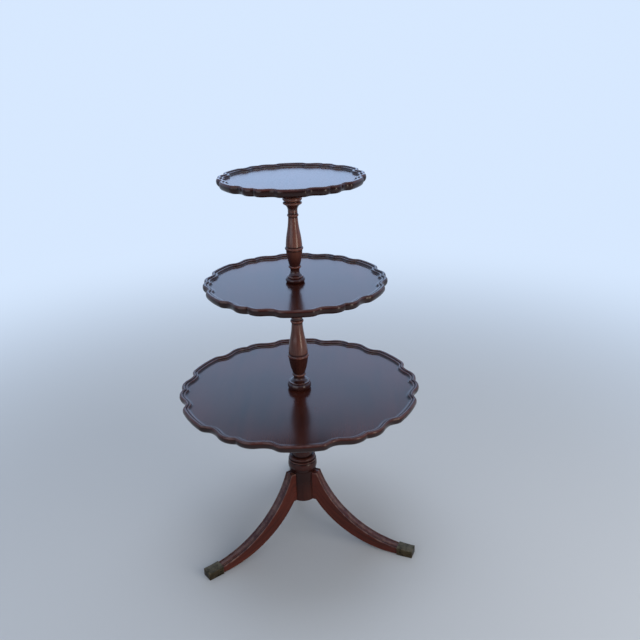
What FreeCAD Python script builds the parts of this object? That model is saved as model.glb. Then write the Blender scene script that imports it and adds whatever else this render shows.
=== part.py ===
import FreeCAD, Part
import math
import os
import Sketcher

# A three-tier pie-crust side table. Three dished trays with scalloped rims stand on a turned pillar,
# which screws together through the trays, and the pillar stands on three sabre legs with brass toes.
# Millimetres. +Z is up, the floor is z = 0 and the pillar's axis is the Z axis.

# Driving sizes: name, value, what it measures
SIZES = (
    # Trays
    ("bottom_floor", 425.0, "height of the bottom tray's floor above the ground"),
    ("lower_gap", 274.5, "from the bottom tray's floor up to the middle tray's floor"),
    ("upper_gap", 240.5, "from the middle tray's floor up to the top tray's floor"),
    ("bottom_crest", 293.0, "crest radius of the bottom tray's scallops"),
    ("bottom_deep", 11.5, "depth of the bottom tray's deep notches"),
    ("bottom_shallow", 6.5, "depth of the bottom tray's shallow notches"),
    ("middle_crest", 214.5, "crest radius of the middle tray's scallops"),
    ("middle_deep", 8.5, "depth of the middle tray's deep notches"),
    ("middle_shallow", 5.5, "depth of the middle tray's shallow notches"),
    ("top_crest", 165.5, "crest radius of the top tray's scallops"),
    ("top_deep", 8.0, "depth of the top tray's deep notches"),
    ("top_shallow", 5.0, "depth of the top tray's shallow notches"),
    ("lobe_angle", 10.3, "half the angle of a wide lobe"),
    ("notch_angle", 15.0, "angle from a wide lobe's middle to its deep notch"),
    ("bump_angle", 25.0, "angle from a wide lobe's middle to the crest of the bump beside it"),
    # Section of a tray's edge
    ("tray_thick", 11.0, "thickness of a tray under its floor"),
    ("rim_rise", 7.5, "height of the rim above the floor"),
    ("rim_width", 19.0, "width of the rim, from its edge to the floor"),
    ("edge_undercut", 9.0, "how far the lower edge draws in"),
    ("roll_width", 8.5, "width of the rim's outer roll"),
    ("roll_land", 2.2, "width of the roll's flat crest"),
    ("quirk_depth", 3.0, "depth of the groove inside the roll"),
    ("bead_width", 6.0, "width of the bead inside that groove"),
    ("bead_drop", 2.4, "how far the bead lies below the roll's crest"),
    # Bearers, the round blocks that carry the trays
    ("bearer_thick", 18.0, "thickness of a bearer"),
    ("bearer_chamfer", 4.0, "chamfer round a bearer's lower edge"),
    ("bottom_bearer_dia", 150.0, "diameter of the bottom bearer"),
    ("middle_bearer_dia", 116.0, "diameter of the middle bearer"),
    ("top_bearer_dia", 100.0, "diameter of the top bearer"),
    ("bearer_screw_inset", 14.0, "distance of the bearer screws from the bearer's edge"),
    # Upper column
    ("upper_foot_dia", 45.0, "upper column: foot ring"),
    ("upper_foot_height", 11.0, "upper column: foot ring"),
    ("upper_collar_dia", 38.0, "upper column: collar on the foot"),
    ("upper_collar_height", 4.0, "upper column: collar on the foot"),
    ("upper_waist_dia", 21.0, "upper column: hollow waist"),
    ("upper_waist_height", 19.0, "upper column: hollow waist"),
    ("upper_bulb_base_dia", 25.0, "upper column: lower end of the bulb"),
    ("upper_bulb_dia", 38.0, "upper column: upper end of the bulb"),
    ("upper_bulb_height", 37.5, "upper column: bulb"),
    ("upper_waist_bead_dia", 29.5, "upper column: bead under the bulb"),
    ("upper_waist_bead_height", 6.0, "upper column: bead under the bulb"),
    ("upper_ring_dia", 42.5, "upper column: ring above the bulb"),
    ("upper_ring_height", 8.0, "upper column: ring above the bulb"),
    ("upper_vase_dia", 38.0, "upper column: lower end of the vase"),
    ("upper_neck_dia", 22.0, "upper column: neck"),
    ("upper_neck_height", 5.3, "upper column: neck"),
    ("upper_neck_bead_dia", 26.0, "upper column: bead under the neck"),
    ("upper_neck_bead_height", 7.0, "upper column: bead under the neck"),
    ("upper_cove_height", 16.0, "upper column: cove under the capital"),
    ("upper_capital_dia", 44.5, "upper column: capital"),
    ("upper_capital_height", 18.0, "upper column: capital"),
    ("upper_head_dia", 37.0, "upper column: plain head under the bearer"),
    ("upper_head_height", 11.0, "upper column: plain head under the bearer"),
    # Lower column
    ("lower_foot_dia", 57.5, "lower column: foot ring"),
    ("lower_foot_height", 16.0, "lower column: foot ring"),
    ("lower_collar_dia", 52.0, "lower column: collar on the foot"),
    ("lower_collar_height", 4.0, "lower column: collar on the foot"),
    ("lower_waist_dia", 27.0, "lower column: hollow waist"),
    ("lower_waist_height", 14.0, "lower column: hollow waist"),
    ("lower_bulb_base_dia", 29.0, "lower column: lower end of the bulb"),
    ("lower_bulb_dia", 47.5, "lower column: upper end of the bulb"),
    ("lower_bulb_height", 42.5, "lower column: bulb"),
    ("lower_waist_bead_dia", 33.0, "lower column: bead under the bulb"),
    ("lower_waist_bead_height", 6.5, "lower column: bead under the bulb"),
    ("lower_ring_dia", 51.0, "lower column: ring above the bulb"),
    ("lower_ring_height", 9.5, "lower column: ring above the bulb"),
    ("lower_vase_dia", 47.0, "lower column: lower end of the vase"),
    ("lower_neck_dia", 26.5, "lower column: neck"),
    ("lower_neck_height", 6.3, "lower column: neck"),
    ("lower_neck_bead_dia", 32.0, "lower column: bead under the neck"),
    ("lower_neck_bead_height", 8.0, "lower column: bead under the neck"),
    ("lower_cove_height", 20.5, "lower column: cove under the capital"),
    ("lower_capital_dia", 53.0, "lower column: capital"),
    ("lower_capital_height", 20.0, "lower column: capital"),
    ("lower_head_dia", 45.0, "lower column: plain head under the bearer"),
    ("lower_head_height", 18.5, "lower column: plain head under the bearer"),
    # Pedestal
    ("drum_bottom", 112.0, "height of the pedestal's underside"),
    ("drum_dia", 68.0, "pedestal: drum that takes the legs"),
    ("drum_height", 85.5, "pedestal: drum that takes the legs"),
    ("pedestal_collar_dia", 74.0, "pedestal: swelling collar above the drum"),
    ("pedestal_collar_top_dia", 70.0, "pedestal: upper end of the collar"),
    ("pedestal_collar_height", 24.0, "pedestal: swelling collar above the drum"),
    ("pedestal_ring_dia", 67.0, "pedestal: rounded shoulder above the collar"),
    ("pedestal_ring_height", 15.0, "pedestal: rounded shoulder above the collar"),
    ("pedestal_vase_dia", 51.0, "pedestal: lower end of the vase"),
    ("pedestal_neck_dia", 37.0, "pedestal: neck"),
    ("pedestal_neck_height", 7.0, "pedestal: neck"),
    ("pedestal_neck_bead_dia", 44.0, "pedestal: bead under the neck"),
    ("pedestal_neck_bead_height", 9.0, "pedestal: bead under the neck"),
    ("pedestal_cove_height", 20.0, "pedestal: cove under the capital"),
    ("pedestal_capital_dia", 64.0, "pedestal: capital"),
    ("pedestal_capital_height", 16.5, "pedestal: capital"),
    ("pedestal_head_dia", 56.0, "pedestal: plain head under the bearer"),
    ("pedestal_head_height", 6.5, "pedestal: plain head under the bearer"),
    # Joints of the pillar
    ("stud_dia", 9.5, "diameter of the steel studs"),
    ("stud_grip", 32.0, "length of a stud inside each turned piece"),
    ("spigot_dia", 24.0, "spigot of the upper column in the top bearer"),
    ("spigot_length", 14.0, "spigot of the upper column in the top bearer"),
    # Legs
    ("base_angle", 95.0, "direction of the back leg, from +X"),
    ("leg_width", 26.0, "thickness of a leg from side to side"),
    ("leg_root_height", 79.5, "height of a leg where it meets the drum"),
    ("shoulder_top", 9.6, "length of a leg's level top beside the drum"),
    ("shoulder_under", 5.9, "length of a leg's level underside beside the drum"),
    ("sabre_top_short", 6.0, "distance from the toe's end to where a leg's top is lowest"),
    ("sabre_top_low", 17.2, "height of a leg's top there"),
    ("sabre_under_short", 49.0, "distance from the toe's end to where a leg's underside is lowest"),
    ("reed_width", 3.6, "width of the edge reeds on a leg's top"),
    ("reed_groove", 2.2, "width of the groove beside an edge reed"),
    ("reed_depth", 1.5, "depth of that groove"),
    ("tongue_depth", 14.0, "depth of the dovetail tongue in the drum"),
    ("tongue_root", 3.5, "how far the tongue runs into the leg, outside the drum's face"),
    ("tongue_neck", 12.0, "width of the tongue at that end"),
    ("tongue_wide", 18.0, "width of the tongue at its inner end"),
    ("tongue_height", 66.0, "height of the tongue"),
    # Brass toes
    ("toe_reach", 299.0, "distance from the axis to the end of a toe"),
    ("cap_length", 40.0, "length of a brass toe cap"),
    ("cap_wall", 1.6, "wall of a brass toe cap"),
    ("pin_dia", 2.2, "shank of a brass pin"),
    ("pin_head_dia", 4.4, "head of a brass pin"),
    ("pin_head_height", 0.9, "head of a brass pin"),
    ("pin_length", 9.0, "shank of a brass pin"),
    ("pin_back", 9.0, "distance of a pin from the cap's open end"),
    ("pin_height", 11.0, "height of a pin above the ground"),
    # Plate under the drum
    ("plate_dia", 56.0, "plate that closes the dovetail housings"),
    ("plate_thick", 2.5, "plate that closes the dovetail housings"),
    ("plate_screw_radius", 19.0, "distance of the plate's screws from the axis"),
    # Wood screws
    ("screw_dia", 4.2, "shank of a wood screw"),
    ("screw_head_dia", 8.2, "head of a wood screw"),
    ("screw_head_height", 2.4, "head of a wood screw"),
    ("bearer_screw_length", 23.0, "wood screw through a bearer into a tray"),
    ("plate_screw_length", 22.0, "wood screw through the plate into the drum"),
    # Clearances
    ("joint_play", 0.15, "clearance in the glued and slid joints, on each side"),
    ("bore_play", 0.1, "clearance round studs, screws and pins"),
)

SCALLOPS = 6
LEGS = 3
BEARER_SCREWS = 4
PLATE_SCREWS = 3

doc = FreeCAD.newDocument("tier_table")
sheet = doc.addObject("Spreadsheet::Sheet", "sizes")
for row, (name, number, note) in enumerate(SIZES, start=1):
    sheet.set(f"A{row}", name)
    sheet.set(f"B{row}", str(number))
    sheet.setAlias(f"B{row}", name)
    sheet.set(f"C{row}", note)
doc.recompute()


class Size:
    """A number together with the sheet formula that gives it, so that each relation is written once."""

    def __init__(self, number, formula):
        self.number = float(number)
        self.formula = formula

    def __add__(self, other):
        other = as_size(other)
        return Size(self.number + other.number, f"({self.formula} + {other.formula})")

    def __sub__(self, other):
        other = as_size(other)
        return Size(self.number - other.number, f"({self.formula} - {other.formula})")

    def __mul__(self, other):
        other = as_size(other)
        return Size(self.number * other.number, f"({self.formula} * {other.formula})")

    def __truediv__(self, other):
        other = as_size(other)
        return Size(self.number / other.number, f"({self.formula} / {other.formula})")

    def __neg__(self):
        return Size(-self.number, f"(-{self.formula})")

    def root(self):
        return Size(math.sqrt(self.number), f"sqrt({self.formula})")


def as_size(thing):
    return thing if isinstance(thing, Size) else Size(thing, repr(float(thing)))


def size(name):
    return Size(sheet.get(name), f"sizes.{name}")


def half(name):
    return size(name) / 2


def between(first, second, share=0.5):
    return first + (second - first) * share


def bind(thing, prop, value):
    """Sets a property and ties it to the sheet."""
    setattr(thing, prop, value.number)
    thing.setExpression(prop, value.formula)


def turn_about_z(thing, angle):
    """Turns a finished piece about the pillar's axis."""
    thing.Placement = FreeCAD.Placement(FreeCAD.Vector(), FreeCAD.Vector(0, 0, 1), angle.number)
    thing.setExpression("Placement.Rotation.Angle", angle.formula)


class Outline:
    """A closed sketch drawn corner by corner, with each corner held by its own sizes."""

    def __init__(self, body, name, plane, offset=None):
        self.sketch = body.newObject("Sketcher::SketchObject", name)
        face = [part for part in body.Origin.OriginFeatures if part.Role == plane][0]
        self.sketch.AttachmentSupport = [(face, "")]
        self.sketch.MapMode = "FlatFace"
        if offset is not None:
            self.sketch.AttachmentOffset = FreeCAD.Placement(
                FreeCAD.Vector(0, 0, offset.number), FreeCAD.Rotation())
            self.sketch.setExpression("AttachmentOffset.Base.z", offset.formula)
        self.first = None
        self.corner = None
        self.opening = None
        self.last_end = None

    def hold(self, geometry, point, spot):
        """Fixes a point at its two sizes; a plain 0 puts it on the axis."""
        for kind, axis, value in (("DistanceX", -2, spot[0]), ("DistanceY", -1, spot[1])):
            if isinstance(value, Size):
                index = self.sketch.addConstraint(
                    Sketcher.Constraint(kind, -1, 1, geometry, point, value.number))
                self.sketch.setExpression(f"Constraints[{index}]", value.formula)
            else:
                self.sketch.addConstraint(Sketcher.Constraint("PointOnObject", geometry, point, axis))

    def start(self, across, along):
        self.first = self.corner = (across, along)

    def join(self, geometry, begin, end, spot):
        if self.last_end is None:
            self.opening = (geometry, begin)
        else:
            self.sketch.addConstraint(
                Sketcher.Constraint("Coincident", *self.last_end, geometry, begin))
        self.last_end = (geometry, end)
        self.corner = spot
        if spot is self.first:
            self.sketch.addConstraint(
                Sketcher.Constraint("Coincident", *self.last_end, *self.opening))
        self.hold(geometry, end, spot)

    def line(self, across, along):
        self.line_to((across, along))

    def line_to(self, spot):
        geometry = self.sketch.addGeometry(Part.LineSegment(vector(self.corner), vector(spot)))
        self.join(geometry, 1, 2, spot)

    def arc(self, middle, spot):
        """An arc through a middle point to the next corner."""
        begin = vector(self.corner)
        geometry = self.sketch.addGeometry(Part.Arc(begin, vector(middle), vector(spot)))
        first, last = (1, 2) if self.sketch.getPoint(geometry, 1).isEqual(begin, 1e-6) else (2, 1)
        self.join(geometry, first, last, spot)
        mark = self.sketch.addGeometry(Part.Point(vector(middle)), True)
        self.hold(mark, 1, middle)
        self.sketch.addConstraint(Sketcher.Constraint("PointOnObject", mark, 1, geometry))

    def close(self):
        self.line_to(self.first)
        return self.sketch


def vector(spot):
    return FreeCAD.Vector(as_size(spot[0]).number, as_size(spot[1]).number, 0)


def new_body(label):
    body = doc.addObject("PartDesign::Body", label)
    body.Label = label
    return body


def revolve(body, sketch):
    turning = body.newObject("PartDesign::Revolution", body.Label + "_turning")
    turning.Profile = sketch
    turning.ReferenceAxis = (sketch, ["V_Axis"])
    turning.Angle = 360
    return turning


def pad(body, sketch, length, midplane=False):
    block = body.newObject("PartDesign::Pad", sketch.Name + "_pad")
    block.Profile = sketch
    bind(block, "Length", length)
    block.Midplane = midplane
    return block


def pocket(body, sketch, length, midplane=False, upward=False):
    cut = body.newObject("PartDesign::Pocket", sketch.Name + "_pocket")
    cut.Profile = sketch
    bind(cut, "Length", length)
    cut.Midplane = midplane
    cut.Reversed = upward
    return cut


# Turned pieces

# Halfway along an arc that ends level, this share of its rise is left
LEVEL_END = 0.25

# Shares that give the turned curves their shape
BULB_FULL = 0.66
WAIST_LEVEL = 0.6
VASE_SHOULDER = 0.18
VASE_TURN = 0.52
VASE_HOLLOW = 0.85
COVE_HOLLOW = 0.25
COVE_LEVEL = 0.62


def bead(outline, base_radius, crown_radius, low, high):
    """A rounded ring between two heights."""
    outline.arc((crown_radius, between(low, high)), (base_radius, high))


def turned_head(outline, name, low, top):
    """Ring, vase, neck and capital, drawn upwards from low to the top; the vase takes what is left."""
    ring_top = low + size(name + "_ring_height")
    head_low = top - size(name + "_head_height")
    capital_low = head_low - size(name + "_capital_height")
    cove_low = capital_low - size(name + "_cove_height")
    neck_low = cove_low - size(name + "_neck_height")
    bead_low = neck_low - size(name + "_neck_bead_height")
    vase = half(name + "_vase_dia")
    neck = half(name + "_neck_dia")
    head = half(name + "_head_dia")
    bead(outline, vase, half(name + "_ring_dia"), low, ring_top)
    turn_height = between(ring_top, bead_low)
    turn = (between(vase, neck, VASE_TURN), turn_height)
    outline.arc((between(vase, neck, VASE_SHOULDER), between(ring_top, turn_height)), turn)
    outline.arc((between(vase, neck, VASE_HOLLOW), between(turn_height, bead_low)), (neck, bead_low))
    bead(outline, neck, half(name + "_neck_bead_dia"), bead_low, neck_low)
    outline.line(neck, cove_low)
    cove = (between(neck, head, COVE_HOLLOW), between(cove_low, capital_low, COVE_LEVEL))
    outline.arc(cove, (head, capital_low))
    bead(outline, head, half(name + "_capital_dia"), capital_low, head_low)
    outline.line(head, top)


def turned_foot(outline, name, low):
    """Foot ring, collar, waist, bead and bulb, drawn upwards from low; returns the bulb's top."""
    foot_top = low + size(name + "_foot_height")
    collar_top = foot_top + size(name + "_collar_height")
    waist_top = collar_top + size(name + "_waist_height")
    bead_top = waist_top + size(name + "_waist_bead_height")
    bulb_top = bead_top + size(name + "_bulb_height")
    collar = half(name + "_collar_dia")
    base = half(name + "_bulb_base_dia")
    bulb = half(name + "_bulb_dia")
    bead(outline, collar, half(name + "_foot_dia"), low, foot_top)
    outline.line(collar, collar_top)
    waist = (half(name + "_waist_dia"), between(collar_top, waist_top, WAIST_LEVEL))
    outline.arc(waist, (base, waist_top))
    bead(outline, base, half(name + "_waist_bead_dia"), waist_top, bead_top)
    outline.arc((between(base, bulb, BULB_FULL), between(bead_top, bulb_top)), (bulb, bulb_top))
    return bulb_top


def bored_column(name, low, top, spigot_top=None):
    """A turned column with a stud bore in its foot and, above, either a stud bore or a spigot."""
    body = new_body(name + "_column")
    bore = half("stud_dia") + size("bore_play")
    depth = size("stud_grip") + size("joint_play")
    outline = Outline(body, name + "_profile", "XZ_Plane")
    outline.start(bore, low)
    outline.line(half(name + "_collar_dia"), low)
    bulb_top = turned_foot(outline, name, low)
    turned_head(outline, name, bulb_top, top)
    if spigot_top is None:
        outline.line(bore, top)
        outline.line(bore, top - depth)
        outline.line(0, top - depth)
    else:
        outline.line(half("spigot_dia"), top)
        outline.line(half("spigot_dia"), spigot_top)
        outline.line(0, spigot_top)
    outline.line(0, low + depth)
    outline.line(bore, low + depth)
    revolve(body, outline.close())
    return body


def dovetail(body, name, low, play):
    """The plan of a dovetail at a height: wide inside the drum, narrow just outside its face."""
    drum = half("drum_dia")
    inner = drum - size("tongue_depth") - play
    outer = drum + size("tongue_root")
    wide = half("tongue_wide") + play
    narrow = half("tongue_neck") + play
    outline = Outline(body, name, "XY_Plane", low)
    outline.start(inner, -wide)
    outline.line(outer, -narrow)
    outline.line(outer, narrow)
    outline.line(inner, wide)
    return outline.close()


def make_pedestal(top):
    """Turned pedestal: a drum with three dovetail housings, a collar, a vase and a capital."""
    body = new_body("pedestal")
    low = size("drum_bottom")
    drum = half("drum_dia")
    drum_top = low + size("drum_height")
    collar_top = drum_top + size("pedestal_collar_height")
    bore = half("stud_dia") + size("bore_play")
    depth = size("stud_grip") + size("joint_play")
    outline = Outline(body, "pedestal_profile", "XZ_Plane")
    outline.start(0, low)
    outline.line(drum, low)
    outline.line(drum, drum_top)
    bead(outline, half("pedestal_collar_top_dia"), half("pedestal_collar_dia"), drum_top, collar_top)
    turned_head(outline, "pedestal", collar_top, top)
    outline.line(bore, top)
    outline.line(bore, top - depth)
    outline.line(0, top - depth)
    turning = revolve(body, outline.close())
    plan = dovetail(body, "housing_plan", low, size("joint_play"))
    doc.recompute()
    before = turning.Shape.Volume
    housing = pocket(body, plan, size("tongue_height") + size("joint_play"), upward=True)
    round_the_drum = body.newObject("PartDesign::PolarPattern", "housings")
    round_the_drum.Originals = [housing]
    round_the_drum.Axis = (plan, ["N_Axis"])
    round_the_drum.Angle = 360
    round_the_drum.Occurrences = LEGS
    body.Tip = round_the_drum
    doc.recompute()
    if body.Shape.Volume >= before:
        raise RuntimeError("the dovetail housings cut nothing")
    turn_about_z(body, size("base_angle"))
    return body


# Legs and toes

class Sabre:
    """One curve of a leg: an arc, level at its low end, that rises to the leg's root."""

    def __init__(self, low_out, low, root_out, root):
        run = low_out - root_out
        rise = root - low
        self.low_out = low_out
        self.low = low
        self.root_out = root_out
        self.root = root
        self.radius = (run * run + rise * rise) / (rise * 2)

    def height(self, out, lift=0):
        """Height of the curve, raised square to itself by lift, at a distance from the axis."""
        radius = self.radius - lift
        away = self.low_out - out
        return self.low + self.radius - (radius * radius - away * away).root()

    def out(self, height, lift):
        """Distance from the axis of the curve, raised square to itself by lift, at a height."""
        radius = self.radius - lift
        below = self.low + self.radius - height
        return self.low_out - (radius * radius - below * below).root()


def sabre_top():
    """The curve of a leg's top."""
    root = size("drum_bottom") + size("leg_root_height")
    root_out = half("drum_dia") + size("shoulder_top")
    return Sabre(size("toe_reach") - size("sabre_top_short"), size("sabre_top_low"), root_out, root)


def sabre_under():
    """The curve of a leg's underside."""
    low = size("cap_wall") + size("joint_play")
    root_out = half("drum_dia") + size("shoulder_under")
    return Sabre(size("toe_reach") - size("sabre_under_short"), low, root_out, size("drum_bottom"))


def make_leg(name):
    """A sabre leg with a hollowed shoulder, a dovetail tongue and a reeded top."""
    body = new_body("leg_" + name)
    top = sabre_top()
    under = sabre_under()
    toe = size("toe_reach") - size("cap_wall") - size("joint_play")
    under_mid = between(under.root_out, under.low_out)
    top_mid = between(top.root_out, toe)
    outline = Outline(body, name + "_leg_profile", "XZ_Plane")
    outline.start(0, under.root)
    outline.line(under.root_out, under.root)
    outline.arc((under_mid, under.height(under_mid)), (under.low_out, under.low))
    outline.line(toe, under.low)
    outline.line(toe, top.height(toe))
    outline.arc((top_mid, top.height(top_mid)), (top.root_out, top.root))
    outline.line(0, top.root)
    blank = pad(body, outline.close(), size("leg_width"), midplane=True)
    shoulder = shoulder_plan(body, name + "_shoulder")
    doc.recompute()
    before = blank.Shape.Volume
    pocket(body, shoulder, top.root * 2 + size("leg_width"), midplane=True)
    doc.recompute()
    if body.Shape.Volume >= before:
        raise RuntimeError("the shoulder of a leg cut nothing")
    pad(body, dovetail(body, name + "_tongue", under.root, as_size(0)), size("tongue_height"))
    groove_middle = half("leg_width") - size("reed_width") - half("reed_groove")
    for side, across in (("near", groove_middle), ("far", -groove_middle)):
        cut_reed(body, f"{name}_{side}_reed", across)
    return body


def shoulder_plan(body, name):
    """The drum's own circle, which hollows a leg's shoulder."""
    sketch = body.newObject("Sketcher::SketchObject", name)
    face = [part for part in body.Origin.OriginFeatures if part.Role == "XY_Plane"][0]
    sketch.AttachmentSupport = [(face, "")]
    sketch.MapMode = "FlatFace"
    radius = half("drum_dia") + size("joint_play")
    circle = Part.Circle(FreeCAD.Vector(), FreeCAD.Vector(0, 0, 1), radius.number)
    sketch.addGeometry(circle)
    sketch.addConstraint(Sketcher.Constraint("Coincident", 0, 3, -1, 1))
    index = sketch.addConstraint(Sketcher.Constraint("Radius", 0, radius.number))
    sketch.setExpression(f"Constraints[{index}]", radius.formula)
    return sketch


def cut_reed(body, name, across):
    """A groove along a leg's top that leaves a reed at its edge and stops at the toe cap."""
    top = sabre_top()
    over = size("reed_depth")
    under = -size("reed_depth")
    root = top.out(top.root, over)
    end = size("toe_reach") - size("cap_length")
    mid = between(root, end)
    outline = Outline(body, name, "XZ_Plane", across)
    outline.start(root, top.height(root, over))
    outline.arc((mid, top.height(mid, over)), (end, top.height(end, over)))
    outline.line(end, top.height(end, under))
    outline.arc((mid, top.height(mid, under)), (root, top.height(root, under)))
    pocket(body, outline.close(), size("reed_groove"), midplane=True)


def make_toe_cap(name):
    """A brass box toe that slips over a leg's end."""
    body = new_body("toe_cap_" + name)
    top = sabre_top()
    wall = size("cap_wall")
    play = size("joint_play")
    reach = size("toe_reach")
    mouth = reach - size("cap_length")
    skin = wall + play
    outline = Outline(body, name + "_cap_profile", "XZ_Plane")
    outline.start(mouth, 0)
    outline.line(reach, 0)
    outline.line(reach, top.height(reach, skin))
    middle = between(mouth, reach)
    outline.arc((middle, top.height(middle, skin)), (mouth, top.height(mouth, skin)))
    shell = pad(body, outline.close(), size("leg_width") + skin * 2, midplane=True)
    inside = reach - wall
    hollow = Outline(body, name + "_cap_hollow", "XZ_Plane")
    hollow.start(mouth, wall)
    hollow.line(inside, wall)
    hollow.line(inside, top.height(inside, play))
    middle = between(mouth, inside)
    hollow.arc((middle, top.height(middle, play)), (mouth, top.height(mouth, play)))
    doc.recompute()
    before = shell.Shape.Volume
    pocket(body, hollow.close(), size("leg_width") + play * 2, midplane=True)
    doc.recompute()
    if body.Shape.Volume >= before:
        raise RuntimeError("the hollow of a toe cap cut nothing")
    return body


# Fasteners

def headed(name, head_dia, head_height, dia, length, play):
    """A countersunk wood screw pointing up from z = 0, or its bore when play is given."""
    body = new_body(name)
    shank = half(dia) + play
    head = half(head_dia) + play
    tip = size(length) + play
    outline = Outline(body, name + "_profile", "XZ_Plane")
    outline.start(0, 0)
    outline.line(head, 0)
    outline.line(shank, size(head_height))
    outline.line(shank, tip - shank)
    outline.line(0, tip)
    revolve(body, outline.close())
    return body


def make_pin(name, play):
    """A round-headed pin pointing along +Z, its head below z = 0, or its bore when play is given."""
    body = new_body(name)
    shank = half("pin_dia") + play
    head = half("pin_head_dia")
    crown = size("pin_head_height")
    tip = size("pin_length") + play
    outline = Outline(body, name + "_profile", "XZ_Plane")
    outline.start(0, -crown)
    outline.arc((head / 2, -crown * (1 - LEVEL_END)), (head, 0))
    outline.line(shank, 0)
    outline.line(shank, tip)
    outline.line(0, tip)
    revolve(body, outline.close())
    return body


def group(label, master, placements):
    """Copies of one piece, kept as separate solids of one node."""
    node = doc.addObject("Part::Feature", label)
    node.Shape = Part.makeCompound([master.Shape.transformed(place.toMatrix()) for place in placements])
    node.Placement = FreeCAD.Placement()
    node.Label = label
    return node


def ring_of_places(radius, height, count, first=0.0):
    """Places on a circle round the pillar's axis."""
    places = []
    for number in range(count):
        angle = math.radians(first + 360.0 * number / count)
        spot = FreeCAD.Vector(radius * math.cos(angle), radius * math.sin(angle), height)
        places.append(FreeCAD.Placement(spot, FreeCAD.Rotation()))
    return places


def leg_angles():
    return [size("base_angle") + 360.0 / LEGS * number for number in range(LEGS)]


def pin_places(angle):
    """Both sides of one toe, each pin pointing inwards."""
    out = size("toe_reach") - size("cap_length") + size("pin_back")
    side = half("leg_width") + size("cap_wall") + size("joint_play")
    turn = FreeCAD.Placement(FreeCAD.Vector(), FreeCAD.Vector(0, 0, 1), angle.number)
    places = []
    for sign in (1, -1):
        spot = FreeCAD.Vector(out.number, sign * side.number, size("pin_height").number)
        inward = FreeCAD.Rotation(FreeCAD.Vector(0, 0, 1), FreeCAD.Vector(0, -sign, 0))
        places.append(turn.multiply(FreeCAD.Placement(spot, inward)))
    return places


def cut(label, base, tool):
    """A finished piece: base with tool's shape taken out."""
    base.Label = label + "_blank"
    node = doc.addObject("Part::Cut", label + "_cut")
    node.Base = base
    node.Tool = tool
    node.Label = label
    return node


def make_stud(name, joint_low, joint_high):
    """A steel stud that grips the turned pieces below and above a tray."""
    stud = doc.addObject("Part::Cylinder", name)
    stud.Label = name
    bind(stud, "Radius", half("stud_dia"))
    low = joint_low - size("stud_grip")
    bind(stud, "Height", joint_high + size("stud_grip") - low)
    stud.Placement = FreeCAD.Placement(FreeCAD.Vector(0, 0, low.number), FreeCAD.Rotation())
    stud.setExpression("Placement.Base.z", low.formula)
    return stud


def make_plate():
    """The steel disc under the drum that keeps the dovetails from sliding out."""
    plate = doc.addObject("Part::Cylinder", "dovetail_plate_disc")
    bind(plate, "Radius", half("plate_dia"))
    bind(plate, "Height", size("plate_thick"))
    low = size("drum_bottom") - size("plate_thick")
    plate.Placement = FreeCAD.Placement(FreeCAD.Vector(0, 0, low.number), FreeCAD.Rotation())
    plate.setExpression("Placement.Base.z", low.formula)
    return plate


# Trays and their bearers

def make_bearer(name, low, hole, hole_top):
    """A round block under a tray, chamfered below, with a bore for the stud or the spigot."""
    body = new_body(name + "_bearer_block")
    radius = half(name + "_bearer_dia")
    chamfer = size("bearer_chamfer")
    top = low + size("bearer_thick")
    outline = Outline(body, name + "_bearer_profile", "XZ_Plane")
    outline.start(hole, low)
    outline.line(radius - chamfer, low)
    outline.line(radius, low + chamfer)
    outline.line(radius, top)
    if hole_top is None:
        outline.line(hole, top)
    else:
        outline.line(0, top)
        outline.line(0, hole_top)
        outline.line(hole, hole_top)
    revolve(body, outline.close())
    return body


# Flats that stand for one quarter round of the rim's section
ROUND_STEPS = 2


def quarter_round(start, end, upright):
    """Points of a quarter round in the rim's section, leaving start upright or level."""
    points = []
    for step in range(1, ROUND_STEPS + 1):
        angle = math.pi / 2 * step / ROUND_STEPS
        fast = math.sin(angle)
        slow = 1 - math.cos(angle)
        across, up = (slow, fast) if upright else (fast, slow)
        points.append((start[0] + (end[0] - start[0]) * across, start[1] + (end[1] - start[1]) * up))
    return points


def crust_outline(crest, deep, shallow, inset, height):
    """The scalloped outline drawn in by inset: lobe, deep notch, bump and shallow notch, as arcs."""
    scale = (crest - inset) / crest
    lobe = sheet.get("lobe_angle")
    notch = sheet.get("notch_angle")
    bump = sheet.get("bump_angle")
    half_unit = 180.0 / SCALLOPS
    turn = ((notch + bump) / 2, deep / 2)
    fall = ((lobe + notch) / 2, deep - deep * LEVEL_END)
    rise = ((notch + turn[0]) / 2, deep - (deep - turn[1]) * LEVEL_END)
    # One side of a lobe: angle and depth of each corner, and of a point on the arc that leads to it
    run = (
        ((lobe, 0.0), None),
        ((notch, deep), fall),
        (turn, rise),
        ((half_unit, shallow), (bump, 0.0)),
    )

    def at(middle, side, spot):
        angle = math.radians(middle + side * spot[0])
        radius = (crest - spot[1]) * scale
        return FreeCAD.Vector(radius * math.cos(angle), radius * math.sin(angle), height)

    edges = []
    for number in range(SCALLOPS):
        middle = half_unit * (2 * number + 1)
        edges.append(Part.Arc(at(middle, -1, run[0][0]), at(middle, 1, (0.0, 0.0)),
                              at(middle, 1, run[0][0])).toShape())
        for side in (1, -1):
            for before, after in zip(run, run[1:]):
                edges.append(Part.Arc(at(middle, side, before[0]), at(middle, side, after[1]),
                                      at(middle, side, after[0])).toShape())
    return Part.Wire(Part.__sortEdges__(edges))


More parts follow.
